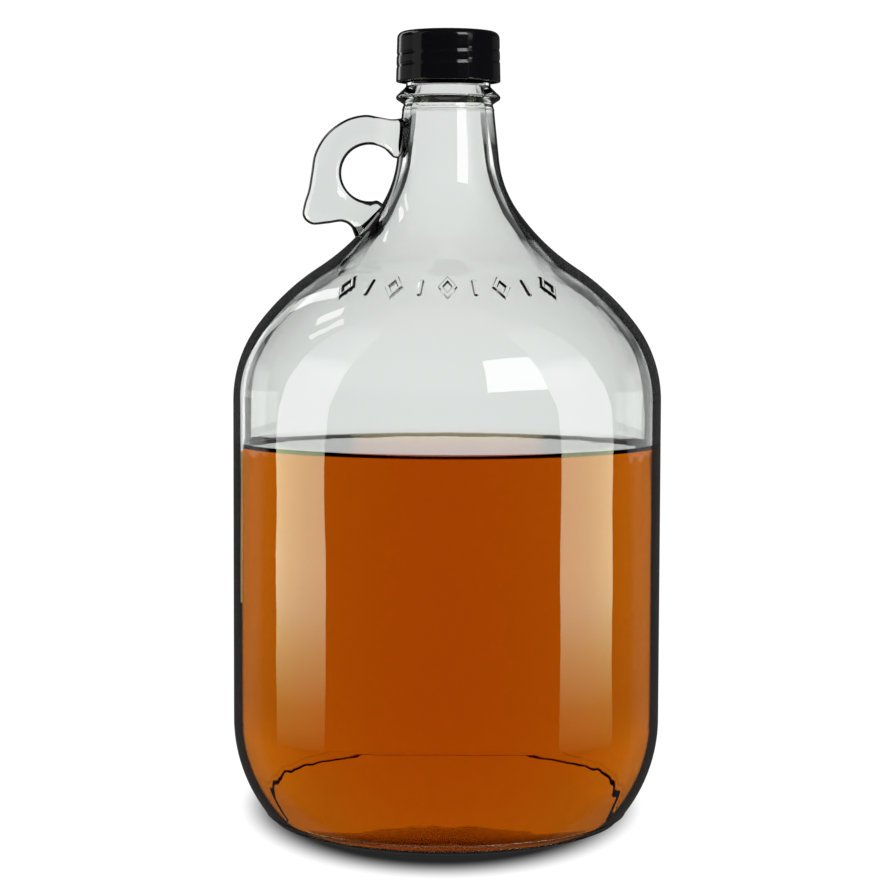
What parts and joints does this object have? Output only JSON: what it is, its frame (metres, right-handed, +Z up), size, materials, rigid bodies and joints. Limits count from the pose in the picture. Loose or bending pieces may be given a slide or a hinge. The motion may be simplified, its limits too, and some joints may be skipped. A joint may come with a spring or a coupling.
{
  "type": "glass jug",
  "caption": "Clear glass carboy with a finger-ring handle, raised shoulder marks, a black screw cap with a liner, and an amber drink in it.",
  "frame": {"origin": "centre of the base, on the surface that the jug stands on", "axes": "+Z up along the jug's axis, -Y is the front, and the ring handle stands out on the -X side"},
  "size_m": [0.1644, 0.1644, 0.3051],
  "materials": {
    "clear_glass": "clear glass with a faint green-grey tint, smooth outside, stippled on the ring it stands on",
    "amber_drink": "clear amber liquid, shown as a still solid with a flat surface",
    "white_foam": "soft white pressed foam",
    "black_plastic": "glossy black moulded plastic with shallow sink marks over the thread"
  },
  "bodies": {
    "jug": {"glass_jug": "clear_glass", "drink": "amber_drink"},
    "seal": {"cap_liner": "white_foam"},
    "cap": {"screw_cap": "black_plastic"}
  },
  "joints": [
    {"name": "cap_rise", "type": "slide", "parent": "jug", "child": "seal", "axis": [0, 0, 1], "range_m": [0, 0.032]},
    {"name": "cap_turn", "type": "hinge", "parent": "seal", "child": "cap", "pos_m": [0, 0, 0.295], "axis": [0, 0, 1], "range_deg": [0, 2700]}
  ],
  "couplings": [
    {"joint": "cap_rise", "follows": "cap_turn", "m_per_rad": 0.0006737}
  ]
}
